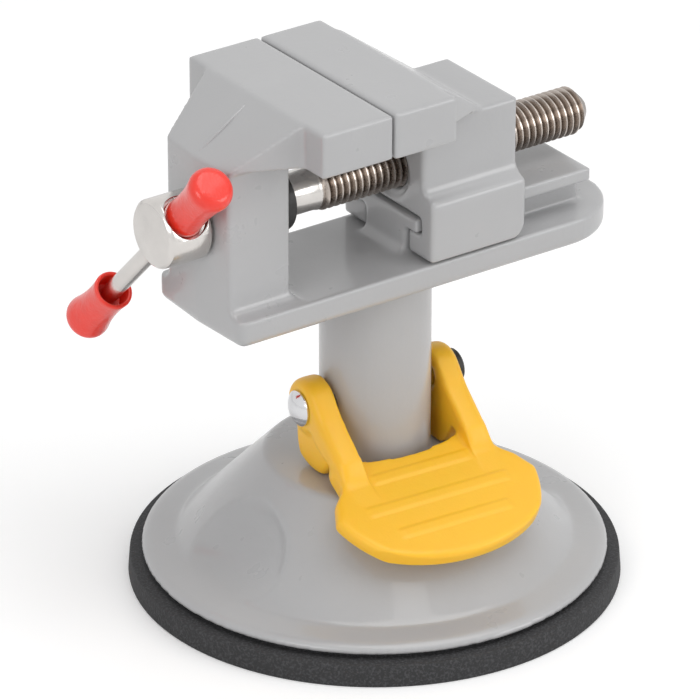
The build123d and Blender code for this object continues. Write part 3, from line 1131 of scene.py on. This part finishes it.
@dataclass
class CamLever(Assembly):
    """Yellow lever with its pad, arms and cams, on its pin.

    Places on the pad are given by their distance from the lever's middle plane,
    side, and by how far they lie down the slope from the neck, down.
    """

    grain: float = 0.24 * MM
    passes: int = 24
    turn: float = math.radians(-4.0)
    slope: float = math.radians(21.0)
    neck: tuple[float, float] = (-12.6 * MM, 24.7 * MM)
    # the arms, and the web between them
    arm_side: float = 13.9 * MM
    arms_before: float = 0.5 * MM
    arms_above: float = 27.5 * MM
    arm_passes: int = 30
    # how the neck is drawn in
    draw_from: float = 3.5 * MM
    draw_length: float = 2.5 * MM
    draw_share: float = 0.8
    free_from: float = 0.3 * MM
    free_length: float = 3.6 * MM
    # the pad's outline
    pad_half: float = 18.4 * MM
    widest: float = 7.5 * MM
    curve_above: float = 8.0 * MM
    curve_below: float = 12.3 * MM
    squareness: int = 3
    rim_from: float = 1.0 * MM
    rim_share: float = 0.12
    # how the pad's top is evened
    even_from: float = 2.0 * MM
    even_length: float = 4.5 * MM
    even_share: float = 0.8
    # the shallow bars across the pad, by place and half length
    grips: tuple[tuple[float, float], ...] = (
        (1.4 * MM, 9.6 * MM),
        (7.4 * MM, 13.6 * MM),
        (13.0 * MM, 10.8 * MM),
    )
    grip_half: float = 1.35 * MM
    grip_height: float = 0.2 * MM
    grip_flank: float = 0.8 * MM
    grip_end: float = 1.5 * MM
    grip_from: float = 0.5 * MM
    skin: float = 0.6 * MM

    def half_width(self, down: float) -> float:
        """Half the pad's width on its round outline.

        Args:
            down: Distance down the slope from the neck.

        Returns:
            The half width there.
        """
        if down < self.widest:
            share = (self.widest - down) / self.curve_above
            return self.pad_half * max(0.0, 1 - share**self.squareness) ** (1 / self.squareness)
        share = (down - self.widest) / self.curve_below
        return self.pad_half * math.sqrt(max(0.0, 1 - share**2))

    def drawn_neck(self, side: float, down: float) -> float:
        """Draws in what stands out beside the arms.

        Args:
            side: Distance from the middle plane.
            down: Distance down the slope from the neck.

        Returns:
            The new distance from the middle plane.
        """
        if down <= -self.draw_from or side <= self.arm_side:
            return side
        drawn = ease((down + self.draw_from) / self.draw_length)
        free = ease((down - self.free_from) / self.free_length)
        share = 1 - self.draw_share * drawn * (1 - free)
        return self.arm_side + (side - self.arm_side) * share

    def drawn_rim(self, side: float, down: float) -> float:
        """Draws in what stands out over the round outline.

        Args:
            side: Distance from the middle plane.
            down: Distance down the slope from the neck.

        Returns:
            The new distance from the middle plane.
        """
        rim = self.half_width(down)
        if down > self.rim_from and side > rim:
            return rim + (side - rim) * self.rim_share
        return side

    def grip_lift(self, side: float, down: float) -> float:
        """Height of the shallow bars.

        Args:
            side: Distance from the middle plane.
            down: Distance down the slope from the neck.

        Returns:
            The height there, which is 0 between the bars.
        """
        share = max(
            ease((self.grip_half - abs(down - place)) / self.grip_flank)
            * ease((half - side) / self.grip_end)
            for place, half in self.grips
        )
        return share * self.grip_height

    def rub_down(self, piece: bpy.types.Object) -> None:
        """Evens the arms and the web between them, but not the pad or the cams.

        Args:
            piece: The lever's mesh.
        """
        limit = self.neck[0] - self.arms_before
        chosen = [
            v.index for v in piece.data.vertices if v.co.y > limit and v.co.z > self.arms_above
        ]
        piece.vertex_groups.new(name="arms").add(chosen, 1.0, "REPLACE")
        apply_modifier(
            piece, "SMOOTH", factor=0.5, iterations=self.arm_passes, vertex_group="arms"
        )
        piece.vertex_groups.clear()

    def shape_pad(self, piece: bpy.types.Object) -> None:
        """Draws in the neck and the rim, evens the pad's top and raises the bars across it.

        Args:
            piece: The lever's mesh, with fine faces.
        """
        unturn = Matrix.Rotation(-self.turn, 3, "Z")
        turn = unturn.inverted()
        along = Vector((0, -math.cos(self.slope), -math.sin(self.slope)))
        up = Vector((0, -math.sin(self.slope), math.cos(self.slope)))
        neck = Vector((0, *self.neck))
        for v in points(piece):
            flat = unturn @ v.co - neck
            down, over = flat.dot(along), flat.dot(up)
            for drawn in (self.drawn_neck, self.drawn_rim):
                flat.x = math.copysign(drawn(abs(flat.x), down), flat.x)
            if down > -self.even_from and over > 0:
                evened = ease((down + self.even_from) / self.even_length)
                flat -= up * (over * self.even_share * evened)
            if down > -self.grip_from and over > -self.skin:
                flat += up * self.grip_lift(abs(flat.x), down)
            v.co = turn @ (flat + neck)

    def build(self) -> None:
        """Makes the lever and dresses its pin."""
        piece = solid_copy(self.nodes["lever"], "lever_moulding")
        cast_skin(piece, self.grain, self.passes)
        self.rub_down(piece)
        self.shape_pad(piece)
        hand_over(piece, Body.LEVER, Slot.YELLOW_LEVER, self.finishes.lever, "lever")
        paint_node(self.nodes["pivot_pin"], self.finishes.chrome)
        paint_node(self.nodes["pin_cap"], self.finishes.ring)


# --------------------------------------------------------------------- studio


@dataclass(frozen=True)
class Softbox:
    """A square lamp that faces the vise."""

    name: str
    place: Point
    size: float
    power: float

    def build(self, target: Vector) -> None:
        """Hangs the lamp.

        Args:
            target: The point that it faces.
        """
        data = bpy.data.lights.new(self.name, "AREA")
        data.shape, data.size, data.energy = "SQUARE", self.size, self.power
        lamp = bpy.data.objects.new(self.name, data)
        bpy.context.scene.collection.objects.link(lamp)
        lamp.location = self.place
        lamp.rotation_euler = (target - Vector(self.place)).to_track_quat("-Z", "Y").to_euler()


@dataclass
class Studio:
    """Pale floor, soft lamps, plain surround and the camera."""

    camera_place: Point = (-0.493792, -0.692131, 0.468848)
    camera_aim: Point = (-0.0011637, 0.0052949, 0.0372275)
    camera_roll: float = math.radians(0.0535)
    lens: float = 306.98
    sensor: float = 36.0
    clip: tuple[float, float] = (0.05, 20.0)
    ambient: float = 0.55
    seen_surround: float = 0.9
    floor_size: float = 6.0
    floor_tone: float = 0.97
    floor_lift: float = 0.14
    lamp_target: Point = (0.0, 0.0, 0.045)
    boxes: tuple[Softbox, ...] = (
        Softbox("overhead_box", (0.1, -0.25, 1.1), 0.9, 4.6),
        Softbox("left_box", (-1.1, -0.5, 0.6), 0.6, 2.9),
        Softbox("right_box", (0.75, -1.0, 0.5), 0.6, 3.3),
    )

    def build(self) -> None:
        """Makes floor, light and camera."""
        self._floor()
        self._world()
        for box in self.boxes:
            box.build(Vector(self.lamp_target))
        self._camera()
        bpy.context.scene.view_settings.view_transform = "Standard"

    def _floor(self) -> None:
        """Lays the floor that takes the shadow, a little brighter where the camera sees it."""
        deselect()
        bpy.ops.mesh.primitive_plane_add(size=self.floor_size, location=(0, 0, 0))
        floor = bpy.context.active_object
        floor.name = "floor"
        material = bpy.data.materials.new("pale_floor")
        material.use_nodes = True
        sockets = material.node_tree.nodes["Principled BSDF"].inputs
        sockets["Base Color"].default_value = (*[self.floor_tone] * 3, 1.0)
        sockets["Roughness"].default_value = 0.7
        sockets["Specular IOR Level"].default_value = 0.2
        sockets["Emission Color"].default_value = WHITE
        n = Nodes(material.node_tree)
        seen = n.add("ShaderNodeLightPath").outputs["Is Camera Ray"]
        n.link(n.math("MULTIPLY", seen, self.floor_lift), sockets["Emission Strength"])
        floor.data.materials.append(material)

    def _world(self) -> None:
        """Sets the plain surround: white where it is seen, softer as a light."""
        world = bpy.data.worlds.new("plain_surround")
        bpy.context.scene.world = world
        world.use_nodes = True
        n = Nodes(world.node_tree)
        back = world.node_tree.nodes["Background"]
        back.inputs["Color"].default_value = WHITE
        path = n.add("ShaderNodeLightPath")
        seen = n.math("MAXIMUM", path.outputs["Is Camera Ray"], path.outputs["Is Glossy Ray"])
        strength = n.ramp(seen, 0.0, 1.0, self.ambient, self.seen_surround)
        n.link(strength, back.inputs["Strength"])

    def _camera(self) -> None:
        """Places the camera at the photograph's angle."""
        data = bpy.data.cameras.new("photo_camera")
        data.lens, data.sensor_width = self.lens, self.sensor
        data.clip_start, data.clip_end = self.clip
        camera = bpy.data.objects.new("photo_camera", data)
        bpy.context.scene.collection.objects.link(camera)
        place = Vector(self.camera_place)
        turn = (Vector(self.camera_aim) - place).to_track_quat("-Z", "Y").to_matrix().to_4x4()
        roll = Matrix.Rotation(self.camera_roll, 4, "Z")
        camera.matrix_world = Matrix.Translation(place) @ turn @ roll
        bpy.context.scene.camera = camera


def main() -> None:
    """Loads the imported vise, dresses it and sets up the studio."""
    logging.basicConfig(level=logging.INFO, format="%(name)s: %(message)s", stream=sys.stdout)
    for thing in list(bpy.data.objects):
        bpy.data.objects.remove(thing)
    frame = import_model()
    nodes = frame["nodes"]
    finishes = Finishes()
    for kind in (ViseHead, LeadScrew, TommyBar, SuctionBase, CamLever):
        kind(nodes, finishes).build()
        log.info("%s is done", kind.__name__)
    Studio().build()
    deselect()
    bpy.context.view_layer.update()


if __name__ == "__main__":
    main()
